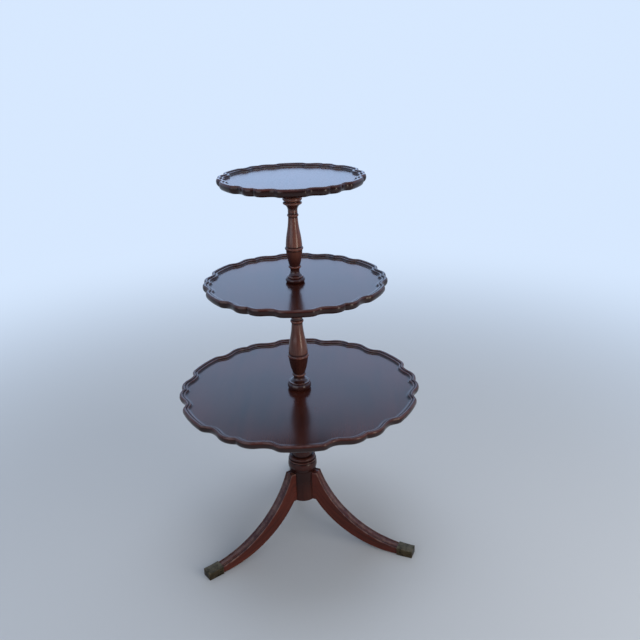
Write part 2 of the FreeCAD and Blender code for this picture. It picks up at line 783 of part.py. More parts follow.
def rim_sections():
    """Inset and height of the rim's section: its outside upwards, then its inside downwards."""
    floor = sheet.get("tray_thick")
    top = floor + sheet.get("rim_rise")
    roll = sheet.get("roll_width")
    land = sheet.get("roll_land")
    bead_width = sheet.get("bead_width")
    shoulder = (roll - land) / 2
    lower_edge = (sheet.get("edge_undercut"), 0.0)
    side_top = (0.0, floor)
    roll_outer = (shoulder, top)
    roll_inner = (shoulder + land, top)
    quirk = (roll, top - sheet.get("quirk_depth"))
    bead_crown = (roll + bead_width / 2, top - sheet.get("bead_drop"))
    bead_inner = (roll + bead_width, quirk[1])
    floor_edge = (sheet.get("rim_width"), floor)
    outside = [lower_edge]
    outside += quarter_round(lower_edge, side_top, upright=False)
    outside += quarter_round(side_top, roll_outer, upright=True)
    inside = [roll_inner]
    inside += quarter_round(roll_inner, quirk, upright=False)
    inside.append(bead_crown)
    inside.append(bead_inner)
    inside += quarter_round(bead_inner, floor_edge, upright=True)
    return outside, inside


def make_tray(name, low, hole, bores):
    """A dished tray with a moulded pie-crust rim, lofted through scaled copies of its outline."""
    crest = sheet.get(name + "_crest")
    deep = sheet.get(name + "_deep")
    shallow = sheet.get(name + "_shallow")
    outside, inside = rim_sections()
    clear = sheet.get("rim_rise")

    def lofted(sections):
        wires = [crust_outline(crest, deep, shallow, inset, low + height) for inset, height in sections]
        return Part.makeLoft(wires, True, True)

    above = (inside[0][0], inside[0][1] + clear)
    shape = lofted(outside).cut(lofted([above] + inside))
    if hole is not None:
        shape = shape.cut(Part.makeCylinder(hole, sheet.get("tray_thick") + clear,
                                            FreeCAD.Vector(0, 0, low)))
    tray = doc.addObject("Part::Feature", name + "_tray")
    tray.Shape = shape.cut(bores.Shape)
    tray.Placement = FreeCAD.Placement()
    tray.Label = name + "_tray"
    return tray


# Heights where the pieces meet
floor = {"bottom": size("bottom_floor")}
floor["middle"] = floor["bottom"] + size("lower_gap")
floor["top"] = floor["middle"] + size("upper_gap")
tray_low = {name: floor[name] - size("tray_thick") for name in floor}
bearer_low = {name: tray_low[name] - size("bearer_thick") for name in tray_low}
stud_hole = half("stud_dia") + size("bore_play")
spigot_hole = half("spigot_dia") + size("joint_play")
spigot_top = bearer_low["top"] + size("spigot_length")

# Masters: each fastener and the bore that takes it
no_play = as_size(0)
some_play = size("bore_play")
screw_head = ("screw_head_dia", "screw_head_height", "screw_dia")
bearer_screw = headed("bearer_screw", *screw_head, "bearer_screw_length", no_play)
bearer_bore = headed("bearer_bore", *screw_head, "bearer_screw_length", some_play)
plate_screw = headed("plate_screw", *screw_head, "plate_screw_length", no_play)
plate_bore = headed("plate_bore", *screw_head, "plate_screw_length", some_play)
toe_pin = make_pin("toe_pin", no_play)
pin_bore = make_pin("pin_bore", some_play)
doc.recompute()

nodes = []

# Pedestal, with the plate and its screws below
plate_first = sheet.get("base_angle") + 180.0 / LEGS
plate_places = ring_of_places(
    sheet.get("plate_screw_radius"), sheet.get("drum_bottom") - sheet.get("plate_thick"),
    PLATE_SCREWS, plate_first)
plate_bores = group("plate_bores", plate_bore, plate_places)
nodes.append(cut("pedestal", make_pedestal(bearer_low["bottom"]), plate_bores))
nodes.append(cut("dovetail_plate", make_plate(), plate_bores))
nodes.append(group("dovetail_plate_screws", plate_screw, plate_places))

# Legs and their toes
all_pins = []
for leg_name, angle in zip(("back", "left", "right"), leg_angles()):
    places = pin_places(angle)
    bores = group(f"{leg_name}_pin_bores", pin_bore, places)
    leg = make_leg(leg_name)
    turn_about_z(leg, angle)
    cap = make_toe_cap(leg_name)
    turn_about_z(cap, angle)
    nodes.append(cut("leg_" + leg_name, leg, bores))
    nodes.append(cut("toe_cap_" + leg_name, cap, bores))
    all_pins += places
nodes.append(group("toe_cap_pins", toe_pin, all_pins))

# Columns and the studs that join them through the trays
nodes.append(bored_column("lower", floor["bottom"], bearer_low["middle"]))
nodes.append(bored_column("upper", floor["middle"], bearer_low["top"], spigot_top))
nodes.append(make_stud("lower_stud", bearer_low["bottom"], floor["bottom"]))
nodes.append(make_stud("upper_stud", bearer_low["middle"], floor["middle"]))

# Bearers, their screws and the trays
bearer_holes = {
    "bottom": (stud_hole, None),
    "middle": (stud_hole, None),
    "top": (spigot_hole, spigot_top + size("joint_play")),
}
for tray_name, (hole, hole_top) in bearer_holes.items():
    low = bearer_low[tray_name]
    radius = half(tray_name + "_bearer_dia") - size("bearer_screw_inset")
    places = ring_of_places(radius.number, low.number, BEARER_SCREWS)
    bores = group(tray_name + "_bearer_bores", bearer_bore, places)
    block = make_bearer(tray_name, low, hole, hole_top)
    nodes.append(cut(tray_name + "_bearer", block, bores))
    nodes.append(group(tray_name + "_bearer_screws", bearer_screw, places))
    tray_hole = stud_hole.number if hole_top is None else None
    nodes.append(make_tray(tray_name, tray_low[tray_name].number, tray_hole, bores))

doc.recompute()

# Every object is sound before anything is written
for thing in doc.Objects:
    if "Invalid" in thing.State or "Error" in thing.State:
        raise RuntimeError(f"{thing.Label} failed to build")
for node in nodes:
    if node.Shape.isNull() or not node.Shape.isValid():
        raise RuntimeError(f"{node.Label} has no valid shape")

os.makedirs("parts", exist_ok=True)
for node in nodes:
    node.Shape.exportStep(f"parts/{node.Label}.step")
print(len(nodes), "nodes written")
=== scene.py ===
import math

import bpy
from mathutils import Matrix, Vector


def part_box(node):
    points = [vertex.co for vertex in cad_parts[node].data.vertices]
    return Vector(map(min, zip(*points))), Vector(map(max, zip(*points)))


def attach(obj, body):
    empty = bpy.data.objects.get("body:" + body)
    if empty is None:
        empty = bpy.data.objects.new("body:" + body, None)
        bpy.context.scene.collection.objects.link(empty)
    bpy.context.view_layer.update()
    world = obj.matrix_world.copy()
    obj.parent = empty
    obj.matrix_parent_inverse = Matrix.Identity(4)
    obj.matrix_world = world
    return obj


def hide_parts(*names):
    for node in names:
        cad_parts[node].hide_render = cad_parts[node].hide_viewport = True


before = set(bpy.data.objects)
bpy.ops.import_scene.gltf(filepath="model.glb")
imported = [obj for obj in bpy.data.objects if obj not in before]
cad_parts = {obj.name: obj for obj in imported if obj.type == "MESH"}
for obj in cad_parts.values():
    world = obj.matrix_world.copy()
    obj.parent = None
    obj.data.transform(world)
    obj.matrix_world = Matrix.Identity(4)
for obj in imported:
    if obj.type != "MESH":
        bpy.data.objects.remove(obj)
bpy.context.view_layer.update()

# A three-tier pie-crust side table: dished trays with scalloped rims on a turned pillar, which stands
# on three sabre legs with brass toes. The table's sizes are in millimetres, and MM makes metres of
# them. Floor, lamps and camera are placed in metres.
MM = 0.001


# Lines and meshes

# Edges that bend by more degrees than this stay crisp, and a shorter chord than this has no direction
SHARP_ANGLE = 38
NO_LENGTH = 1e-9

# How far along its outline the relief of each kind of piece is judged
RIM_REACH = 3.5
TURNED_REACH = 3.0
LEG_REACH = 2.4
BRASS_REACH = 2.0


def between(first, second, share=0.5):
    """The number at a share of the way from one number to another."""
    return first + (second - first) * share


def swung(out, side, level, way):
    """Place of a point that lies out from the axis in one direction, and then to the left of it."""
    return out * math.cos(way) - side * math.sin(way), out * math.sin(way) + side * math.cos(way), level


def arc_points(first, middle, last, count):
    """Points after first, up to last, on the circle through three points of a plane."""
    (ax, ay), (bx, by), (cx, cy) = first, middle, last
    turn = 2 * (ax * (by - cy) + bx * (cy - ay) + cx * (ay - by))
    a2 = ax * ax + ay * ay
    b2 = bx * bx + by * by
    c2 = cx * cx + cy * cy
    x = (a2 * (by - cy) + b2 * (cy - ay) + c2 * (ay - by)) / turn
    y = (a2 * (cx - bx) + b2 * (ax - cx) + c2 * (bx - ax)) / turn
    radius = math.hypot(ax - x, ay - y)
    start = math.atan2(ay - y, ax - x)
    half_way = (math.atan2(by - y, bx - x) - start) % math.tau
    sweep = (math.atan2(cy - y, cx - x) - start) % math.tau
    if half_way > sweep:
        sweep -= math.tau
    points = []
    for step in range(1, count + 1):
        angle = start + sweep * step / count
        points.append((x + radius * math.cos(angle), y + radius * math.sin(angle)))
    return points


def quarter_round(start, end, upright, count=6):
    """Points after start, up to end, on a quarter round that leaves start upright or level."""
    points = []
    for step in range(1, count + 1):
        angle = math.pi / 2 * step / count
        fast = math.sin(angle)
        slow = 1 - math.cos(angle)
        across, up = (slow, fast) if upright else (fast, slow)
        points.append((between(start[0], end[0], across), between(start[1], end[1], up)))
    return points


def relief(line, reach, closed=False):
    """How far each point of a line stands out: up to 1 on a crest and down to -1 in a groove.

    The solid lies to the left of the line."""
    count = len(line)
    values = []
    for index, (x, y) in enumerate(line):
        ends = []
        for step in (-1, 1):
            spot = index
            length = 0.0
            while length < reach:
                after = spot + step
                if closed:
                    after %= count
                if not 0 <= after < count or after == index:
                    break
                length += math.dist(line[spot], line[after])
                spot = after
            ends.append(line[spot])
        (ax, ay), (bx, by) = ends
        chord = math.dist(*ends)
        if chord < NO_LENGTH:
            values.append(0.0)
            continue
        out = ((by - ay) * (x - ax) - (bx - ax) * (y - ay)) / chord
        values.append(max(-1.0, min(1.0, 2 * out / reach)))
    return values


def make_piece(name, node, material, rings, stand_out, grain, ends=(True, True)):
    """A smooth piece lofted through rings of points, which stands for a CAD node.

    stand_out and grain give each point's relief, with any painted shade and highlight added to it, and
    its place in the wood: along, across, across.
    ends says whether the first and the last ring are closed."""
    count = len(rings[0])
    points = [point for ring in rings for point in ring]
    stand_out = [value for ring in stand_out for value in ring]
    grain = [place for ring in grain for place in ring]
    last_ring = count * (len(rings) - 1)
    faces = []
    for low in range(0, last_ring, count):
        for here in range(count):
            after = (here + 1) % count
            faces.append((low + here, low + after, low + count + after, low + count + here))
    for closed, low, backward in zip(ends, (0, last_ring), (True, False)):
        if not closed:
            continue
        middle = len(points)
        ring = range(low, low + count)
        points.append(tuple(sum(points[i][axis] for i in ring) / count for axis in range(3)))
        grain.append(tuple(sum(grain[i][axis] for i in ring) / count for axis in range(3)))
        stand_out.append(0.0)
        for here in range(count):
            pair = (low + here, low + (here + 1) % count)
            faces.append((*reversed(pair), middle) if backward else (*pair, middle))
    mesh = bpy.data.meshes.new(name)
    mesh.from_pydata([Vector(point) * MM for point in points], [], faces)
    mesh.shade_smooth()
    mesh.set_sharp_from_angle(angle=math.radians(SHARP_ANGLE))
    mesh.attributes.new("relief", "FLOAT", "POINT").data.foreach_set("value", stand_out)
    flat = [number * MM for place in grain for number in place]
    mesh.attributes.new("grain", "FLOAT_VECTOR", "POINT").data.foreach_set("vector", flat)
    mesh.materials.append(material)
    piece = bpy.data.objects.new(name, mesh)
    bpy.context.scene.collection.objects.link(piece)
    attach(piece, "root")
    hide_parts(node)


# Shader nodes

# Numbers of the sockets that mix two colours
MIX_FACTOR = 0
MIX_FIRST = 6
MIX_SECOND = 7
MIX_RESULT = 2


def feed(tree, node, inputs):
    """Give each named input a value, or the socket that feeds it."""
    for name, value in inputs.items():
        if isinstance(value, bpy.types.NodeSocket):
            tree.links.new(value, node.inputs[name])
        else:
            node.inputs[name].default_value = value


def add(tree, kind, inputs=None, **settings):
    """A new shader node with its settings and inputs."""
    made = tree.nodes.new(kind)
    for name, value in settings.items():
        setattr(made, name, value)
    feed(tree, made, inputs or {})
    return made


def object_place(tree):
    """Place on the piece, in metres."""
    return add(tree, "ShaderNodeTexCoord").outputs["Object"]


def relief_of(tree):
    """The relief that the mesh carries, which on some pieces is lowered for painted shade and raised for
    a painted highlight.
    """
    return add(tree, "ShaderNodeAttribute", attribute_name="relief").outputs["Fac"]


def noise(tree, place, scale, detail=2.0, roughness=0.5, distortion=0.0):
    """Noise whose cells are stretched by a scale per axis, in cells per metre."""
    stretched = add(tree, "ShaderNodeMapping", {"Vector": place, "Scale": scale})
    made = add(tree, "ShaderNodeTexNoise", {
        "Vector": stretched.outputs["Vector"], "Scale": 1.0, "Detail": detail,
        "Roughness": roughness, "Distortion": distortion})
    return made.outputs["Fac"]


def ramp(tree, factor, *stops):
    """A colour ramp of (place, colour) stops."""
    made = add(tree, "ShaderNodeValToRGB", {"Fac": factor})
    elements = made.color_ramp.elements
    while len(elements) < len(stops):
        elements.new(0.5)
    for element, (place, colour) in zip(elements, stops):
        element.position = place
        element.color = (*colour, 1.0)
    return made.outputs["Color"]


def mix(tree, factor, first, second):
    """A fed colour mixed with a plain one."""
    made = add(tree, "ShaderNodeMix", {
        MIX_FACTOR: factor, MIX_FIRST: first, MIX_SECOND: (*second, 1.0)}, data_type="RGBA")
    return made.outputs[MIX_RESULT]


def span(tree, value, source, target):
    """A value's range mapped onto another, and held at its ends."""
    made = add(tree, "ShaderNodeMapRange", {
        "Value": value, "From Min": source[0], "From Max": source[1],
        "To Min": target[0], "To Max": target[1]})
    return made.outputs["Result"]


def times(tree, first, second):
    """The product of two numbers."""
    return add(tree, "ShaderNodeMath", {0: first, 1: second}, operation="MULTIPLY").outputs["Value"]


def plus(tree, first, second):
    """The sum of two numbers."""
    return add(tree, "ShaderNodeMath", {0: first, 1: second}, operation="ADD").outputs["Value"]


def blend(tree, first, second, share):
    """A share of the first number and the rest of the second."""
    return plus(tree, times(tree, first, share), times(tree, second, 1 - share))


def bump(tree, height, strength, distance):
    """A surface roughened by a height, up to a distance in metres."""
    made = add(tree, "ShaderNodeBump", {"Height": height, "Strength": strength, "Distance": distance})
    return made.outputs["Normal"]


def new_material(name):
    """A material with one Principled shader."""
    material = bpy.data.materials.new(name)
    material.use_nodes = True
    tree = material.node_tree
    return material, tree, tree.nodes["Principled BSDF"]


# Materials

# Relief at which painted shade begins to darken grooves and shaded stretches, and wooden crests and brass
# edges to wear, and at which that is complete. A leg's top is lifted into the crests' span for a painted
# highlight.
SHADE_SPAN = (-0.05, -0.5)
CRESTS = (0.15, 0.7)
BRASS_EDGES = (0.2, 0.8)


def lacquered_wood(name, dark, middle, light, red, wear_and_highlight, coat_ior, coat_roughness):
    """Mahogany under lacquer, with streaks and pores along the grain and red patches.

    Grooves and stretches in shade are darkened as painted shade, and crests are worn; a leg's lifted top
    takes the wear colour as a painted highlight."""
    material, tree, shader = new_material(name)
    place = add(tree, "ShaderNodeAttribute", attribute_name="grain").outputs["Vector"]
    height = relief_of(tree)
    streak = noise(tree, place, (4, 60, 60), detail=5.0, roughness=0.6, distortion=0.5)
    pores = noise(tree, place, (45, 1500, 1500))
    patch = noise(tree, place, (5, 8, 8))
    chance = noise(tree, place, (60, 60, 60), detail=4.0, roughness=0.65)
    tone = blend(tree, streak, pores, share=0.7)
    colour = ramp(tree, tone, (0.32, dark), (0.5, middle), (0.7, light))
    colour = mix(tree, span(tree, patch, (0.4, 0.7), (0.0, 0.7)), colour, red)
    # Painted shade: grooves, and stretches whose relief is lowered for shade, mix towards the dark colour
    colour = mix(tree, span(tree, height, SHADE_SPAN, (0.0, 0.85)), colour, dark)
    # Wear on crests; on a leg's top, whose relief is lifted, this is a painted highlight
    crest = span(tree, height, CRESTS, (0.0, 1.0))
    worn = times(tree, crest, span(tree, chance, (0.42, 0.68), (0.05, 0.6)))
    dullness = plus(tree, worn, times(tree, chance, 0.4))
    feed(tree, shader, {
        "Base Color": mix(tree, worn, colour, wear_and_highlight),
        "Roughness": span(tree, dullness, (0.0, 0.8), (0.36, 0.56)),
        "Normal": bump(tree, tone, strength=0.04, distance=0.0002),
        "Specular IOR Level": 0.0,
        "Coat Weight": 1.0,
        "Coat Roughness": coat_roughness,
        "Coat IOR": coat_ior})
    return material


def stained_block(name, dark, light):
    """Plain stained wood that is hidden in use: dull, with open grain."""
    material, tree, shader = new_material(name)
    place = object_place(tree)
    streak = noise(tree, place, (9, 130, 130), detail=5.0, roughness=0.6, distortion=0.4)
    pores = noise(tree, place, (70, 1700, 1700))
    tone = blend(tree, streak, pores, share=0.6)
    feed(tree, shader, {
        "Base Color": ramp(tree, tone, (0.36, dark), (0.64, light)),
        "Roughness": span(tree, tone, (0.3, 0.7), (0.7, 0.5)),
        "Normal": bump(tree, tone, strength=0.25, distance=0.0005)})
    return material


def aged_brass(name, tarnish, metal, bright):
    """Cast brass, dulled and spotted, and rubbed bright at its edges."""
    material, tree, shader = new_material(name)
    place = object_place(tree)
    cloud = noise(tree, place, (90, 90, 90), detail=5.0, roughness=0.65)
    speck = noise(tree, place, (900, 900, 900))
    tone = blend(tree, cloud, speck, share=0.7)
    colour = ramp(tree, tone, (0.38, tarnish), (0.62, metal))
    edge = span(tree, relief_of(tree), BRASS_EDGES, (0.0, 1.0))
    worn = times(tree, edge, span(tree, cloud, (0.35, 0.6), (0.2, 0.9)))
    feed(tree, shader, {
        "Base Color": mix(tree, worn, colour, bright),
        "Roughness": span(tree, tone, (0.35, 0.65), (0.58, 0.36)),
        "Normal": bump(tree, speck, strength=0.1, distance=0.0003),
        "Metallic": 1.0})
    return material


def plain_steel(name, dull, clean):
    """Steel of studs, plate and screws, a little oxidised and pitted."""
    material, tree, shader = new_material(name)
    place = object_place(tree)
    cloud = noise(tree, place, (120, 120, 120), detail=5.0, roughness=0.6)
    pits = noise(tree, place, (1500, 1500, 1500))
    feed(tree, shader, {
        "Base Color": ramp(tree, cloud, (0.4, dull), (0.6, clean)),
        "Roughness": span(tree, cloud, (0.35, 0.65), (0.55, 0.33)),
        "Normal": bump(tree, pits, strength=0.1, distance=0.0002),
        "Metallic": 1.0})
    return material


tray_wood = lacquered_wood(
    "tray_mahogany", coat_ior=1.4, coat_roughness=0.19,
    dark=(0.010, 0.0030, 0.0026), middle=(0.034, 0.0095, 0.0065), light=(0.050, 0.016, 0.010),
    red=(0.072, 0.017, 0.011), wear_and_highlight=(0.100, 0.058, 0.054))
turned_wood = lacquered_wood(
    "turned_mahogany", coat_ior=1.5, coat_roughness=0.2,
    dark=(0.019, 0.0045, 0.0034), middle=(0.115, 0.046, 0.034), light=(0.170, 0.075, 0.054),
    red=(0.125, 0.036, 0.025), wear_and_highlight=(0.092, 0.038, 0.029))
# The pedestal's mahogany is a darker copy of the columns', as painted shade under the bottom tray
shaded_pedestal_wood = lacquered_wood(
    "shaded_pedestal_mahogany", coat_ior=1.36, coat_roughness=0.22,
    dark=(0.014, 0.0035, 0.0025), middle=(0.030, 0.008, 0.0055), light=(0.046, 0.014, 0.009),
    red=(0.046, 0.009, 0.006), wear_and_highlight=(0.105, 0.052, 0.040))
# The legs' light tan wear colour also serves as a painted highlight on their tops
leg_wood = lacquered_wood(
    "leg_mahogany", coat_ior=1.36, coat_roughness=0.18,
    dark=(0.018, 0.005, 0.0035), middle=(0.058, 0.011, 0.006), light=(0.090, 0.020, 0.011),
    red=(0.082, 0.013, 0.007), wear_and_highlight=(0.20, 0.125, 0.10))
block_wood = stained_block("bearer_wood", dark=(0.020, 0.010, 0.007), light=(0.050, 0.022, 0.014))
brass = aged_brass(
    "toe_brass", tarnish=(0.014, 0.011, 0.007), metal=(0.040, 0.029, 0.014),
    bright=(0.125, 0.094, 0.054))
steel = plain_steel("joint_steel", dull=(0.20, 0.19, 0.18), clean=(0.42, 0.41, 0.40))


# Trays

# One scallop of the outline, as degrees from the middle of its wide lobe
SCALLOPS = 6
LOBE_END = 10.3
LOBE_SOFT = 1.5
SOFT_START = LOBE_END - LOBE_SOFT
SOFT_END = LOBE_END + LOBE_SOFT
NOTCH = 15.0
TURN = 20.0
BUMP = 25.0
UNIT_END = 30.0

# The rim's section
RIM_RISE = 7.5
RIM_WIDTH = 19.0
EDGE_UNDERCUT = 9.0
ROLL_WIDTH = 8.5
ROLL_LAND = 2.2
QUIRK_DEPTH = 3.0
BEAD_WIDTH = 6.0
BEAD_DROP = 2.4
FLAT_MARGIN = 3.0
FLOOR_POINTS = 2

# Painted shade that darkens the rim's outer face towards the bottom, and how much darker its inside is
# all over
LOWER_FACE_SHADE = 1.3
RIM_DARKENING = 0.3

# Each tray is cut from another stretch of the wood, this many times its height along it
TRAY_GRAIN_SHIFT = 3


def crust_depth(angle, deep, shallow):
    """Depth of the scalloped outline at an angle from the middle of a wide lobe."""
    angle = abs(angle)
    fall = NOTCH - LOBE_END
    if angle <= SOFT_START:
        return 0.0
    if angle < SOFT_END:
        left = (NOTCH - SOFT_END) / fall
        end_depth = deep * (1 - left * left)
        end_slope = 2 * deep * left / fall * (SOFT_END - SOFT_START)
        share = (angle - SOFT_START) / (SOFT_END - SOFT_START)
        return end_depth * share ** 2 * (3 - 2 * share) - end_slope * share ** 2 * (1 - share)
    if angle <= NOTCH:
        left = (NOTCH - angle) / fall
        return deep * (1 - left * left)
    if angle <= TURN:
        past = (angle - NOTCH) / (TURN - NOTCH)
        return deep * (1 - past * past / 2)
    side = (angle - BUMP) / (UNIT_END - BUMP)
    return (deep / 2 + shallow) / 2 * side * side + (shallow - deep / 2) / 2 * side


def crust_angles():
    """Angles of one scallop from its middle, closer together where the outline bends."""
    stretches = ((0.0, SOFT_START, 5), (SOFT_START, SOFT_END, 6), (SOFT_END, NOTCH, 6), (NOTCH, TURN, 6),
                 (TURN, UNIT_END, 10))
    half_run = []
    for low, high, count in stretches:
        half_run += [between(low, high, step / count) for step in range(count)]
    return [-UNIT_END] + [-angle for angle in reversed(half_run[1:])] + half_run


def rim_section(thick):
    """Inset and height round a tray's edge, from its underside over the rim to its floor.

    It also gives the number of points before the quirk, which ends the roll."""
    top = thick + RIM_RISE
    shoulder = (ROLL_WIDTH - ROLL_LAND) / 2
    lower_edge = (EDGE_UNDERCUT, 0.0)
    side_top = (0.0, thick)
    roll_outer = (shoulder, top)
    roll_inner = (shoulder + ROLL_LAND, top)
    quirk = (ROLL_WIDTH, top - QUIRK_DEPTH)
    bead_crown = (ROLL_WIDTH + BEAD_WIDTH / 2, top - BEAD_DROP)
    bead_inner = (ROLL_WIDTH + BEAD_WIDTH, quirk[1])
    floor_edge = (RIM_WIDTH, thick)
    section = [(EDGE_UNDERCUT + FLAT_MARGIN, 0.0), lower_edge]
    section += quarter_round(lower_edge, side_top, upright=False)
    section += quarter_round(side_top, roll_outer, upright=True)
    section.append(roll_inner)
    section += quarter_round(roll_inner, quirk, upright=False)
    roll_points = len(section) - 1
    section += arc_points(quirk, bead_crown, bead_inner, count=6)
    section += quarter_round(bead_inner, floor_edge, upright=True)
    section.append((RIM_WIDTH + FLAT_MARGIN, thick))
    return section, roll_points


def make_tray(name, deep, shallow, grain_turn):
    """A dished tray with a scalloped rim, over the place of its CAD node."""
    node = name + "_tray"
    low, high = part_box(node)
    base = low.z / MM
    lobe_radius = high.y / MM
    thick = (high.z - low.z) / MM - RIM_RISE
    section, roll_points = rim_section(thick)
    stand_out = relief([(lobe_radius - inset, height) for inset, height in section], reach=RIM_REACH)
    # Painted shade: the outer face is lowered in relief towards its bottom, so it comes out darker
    for number in range(roll_points):
        climb = max(0.0, (section[number][1] - thick) / RIM_RISE)
        stand_out[number] -= LOWER_FACE_SHADE * (1 - climb)
    # The rim's inside is darker all over
    for number in range(roll_points, len(section) - FLOOR_POINTS):
        stand_out[number] -= RIM_DARKENING
    turn = math.radians(grain_turn)
    rings = []
    grain = []
    for inset, height in section:
        scale = (lobe_radius - inset) / lobe_radius
        ring = []
        for number in range(SCALLOPS):
            middle = UNIT_END * (2 * number + 1)
            for angle in crust_angles():
                radius = (lobe_radius - crust_depth(angle, deep, shallow)) * scale
                ring.append(swung(radius, 0.0, base + height, math.radians(middle + angle)))
        rings.append(ring)
        grain.append([(x * math.cos(turn) + y * math.sin(turn) + base * TRAY_GRAIN_SHIFT,
                       y * math.cos(turn) - x * math.sin(turn), z) for x, y, z in ring])
    count = len(rings[0])
    make_piece(name + "_pie_crust_tray", node, tray_wood, rings,
               [[value] * count for value in stand_out], grain)


make_tray("bottom", deep=11.5, shallow=6.5, grain_turn=86)
make_tray("middle", deep=8.5, shallow=5.5, grain_turn=93)
make_tray("top", deep=8.0, shallow=5.0, grain_turn=88)


# Turned pieces

AROUND = 96
FINE_DEPTH = 0.7
FINE_WIDTH = 1.4

# The vase's swell, as shares of the way from its own radius to the neck's
VASE_LOW = 0.18
VASE_TURN = 0.52
VASE_HIGH = 0.85

# Shares of the way across and up the hollow parts, the bulb and the capital
COVE_ACROSS = 0.25
COVE_UP = 0.62
CAPITAL_LIP = 0.36
LIP_CROWN = 0.85
WAIST_UP = 0.6
BULB_SWELL = 0.66

# Painted shade: how much darker the wood is where it faces down, on feet and bulbs, and on whole pieces
# that stand under a tray
UNDER_REACH = 4.0
UNDER_SHADE = 0.4
FOOT_SHADE = 0.95
BULB_SHADE = 0.15
LOWER_COLUMN_SHADE = 0.2
PEDESTAL_SHADE = 0.25

# The pedestal's drum, the swelling collar above it, and the two thin rings on the collar
DRUM_RADIUS = 34.0
DRUM_HEIGHT = 85.5
COLLAR_RADIUS = 37.0
COLLAR_TOP_RADIUS = 35.0
COLLAR_HEIGHT = 24.0
LOW_RING_RADIUS = 35.6
LOW_RING_TOP_RADIUS = 33.0
LOW_RING_HEIGHT = 6.0
RINGS_HEIGHT = 15.0


class Profile:
    """A turned outline drawn upwards, as radius and height."""

    def __init__(self, radius, height):
        self.points = [(radius, height)]

    def line(self, radius, height):
        """A straight stretch."""
        self.points.append((radius, height))

    def arc(self, middle, last):
        """A round stretch through a middle point."""
        self.points += arc_points(self.points[-1], middle, last, count=12)

    def bead(self, crown, base, top):
        """A rounded ring up to a height."""
        self.arc((crown, between(self.points[-1][1], top)), (base, top))

    def quirk(self):
        """A fine turned groove."""
        radius, height = self.points[-1]
        self.line(radius - FINE_DEPTH, height + FINE_WIDTH / 4)
        self.line(radius - FINE_DEPTH, height + FINE_WIDTH * 3 / 4)
        self.line(radius, height + FINE_WIDTH)


def turned_head(profile, top, ring, vase, neck_bead, neck, capital, head, heights):
    """Ring, vase, neck and capital up to the top, with the radii of these parts.

    heights are those of ring, neck bead, neck, cove, capital and head."""
    ring_height, bead_height, neck_height, cove_height, capital_height, head_height = heights
    ring_low = profile.points[-1][1] + FINE_WIDTH
    ring_top = ring_low + ring_height
    head_low = top - head_height
    capital_low = head_low - capital_height
    cove_low = capital_low - cove_height
    neck_low = cove_low - neck_height
    bead_low = neck_low - bead_height
    turn_height = between(ring_top, bead_low)
    profile.quirk()
    profile.bead(ring, vase, ring_top - FINE_WIDTH)
    profile.quirk()
    profile.arc((between(vase, neck, VASE_LOW), between(ring_top, turn_height)),
                (between(vase, neck, VASE_TURN), turn_height))
    profile.arc((between(vase, neck, VASE_HIGH), between(turn_height, bead_low)),
                (neck, bead_low - FINE_WIDTH))
    profile.quirk()
    profile.bead(neck_bead, neck, neck_low)
    profile.line(neck, cove_low)
    profile.arc((between(neck, head, COVE_ACROSS), between(cove_low, capital_low, COVE_UP)),
                (head, capital_low))
    profile.bead(between(head, capital, LIP_CROWN), head, between(capital_low, head_low, CAPITAL_LIP))
    profile.quirk()
    profile.bead(capital, head, head_low)
    profile.line(head, top)


def turned_foot(profile, foot, collar, waist, base, waist_bead, bulb, heights):
    """Foot ring, collar, hollow waist, bead and bulb, with the radii of these parts.

    heights are theirs in the same order. It gives the heights below which painted shade darkens its foot
    and its bulb, with how much."""
    foot_height, collar_height, waist_height, bead_height, bulb_height = heights
    foot_top = profile.points[-1][1] + foot_height
    collar_top = foot_top + collar_height
    waist_top = collar_top + waist_height
    bead_top = waist_top + bead_height
    bulb_top = bead_top + bulb_height
    profile.bead(foot, collar, foot_top)
    profile.quirk()
    profile.bead(collar, collar - FINE_DEPTH, collar_top)
    profile.line(collar - FINE_DEPTH * 3, collar_top)
    profile.arc((waist, between(collar_top, waist_top, WAIST_UP)), (base, waist_top))
    profile.bead(waist_bead, base, bead_top)
    profile.arc((between(base, bulb, BULB_SWELL), between(bead_top, bulb_top)),
                (bulb, bulb_top - FINE_WIDTH))
    return (collar_top, FOOT_SHADE), (bulb_top, BULB_SHADE)


def make_turned(name, node, wood, profile, painted_shades):
    """A turned piece: its outline swept round the pillar's axis, with painted shade where it faces down.

    Its painted shade comes as pairs of a height and how much darker the piece is below it."""
    points = profile.points
    neighbours = zip(points[:1] + points, points[1:] + points[-1:])
    stand_out = []
    # Painted shade: the relief is lowered below each given height and where the outline faces down, so
    # these stretches come out darker
    for value, (below, above) in zip(relief(points, reach=TURNED_REACH), neighbours):
        lean = (above[0] - below[0]) / math.dist(above, below)
        facing_down = max(0.0, min(1.0, UNDER_REACH * lean))
        shade_here = sum(strength for reach, strength in painted_shades if below[1] < reach)
        stand_out.append(value - shade_here - UNDER_SHADE * facing_down)
    ways = [math.tau * step / AROUND for step in range(AROUND)]
    rings = [[swung(radius, 0.0, height, way) for way in ways] for radius, height in points]
    grain = [[(z, x, y) for x, y, z in ring] for ring in rings]
    make_piece(name, node, wood, rings,
               [[value] * AROUND for value in stand_out], grain)


def heights_of(node):
    """Lowest and highest point of a CAD node, in millimetres."""
    low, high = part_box(node)
    return low.z / MM, high.z / MM


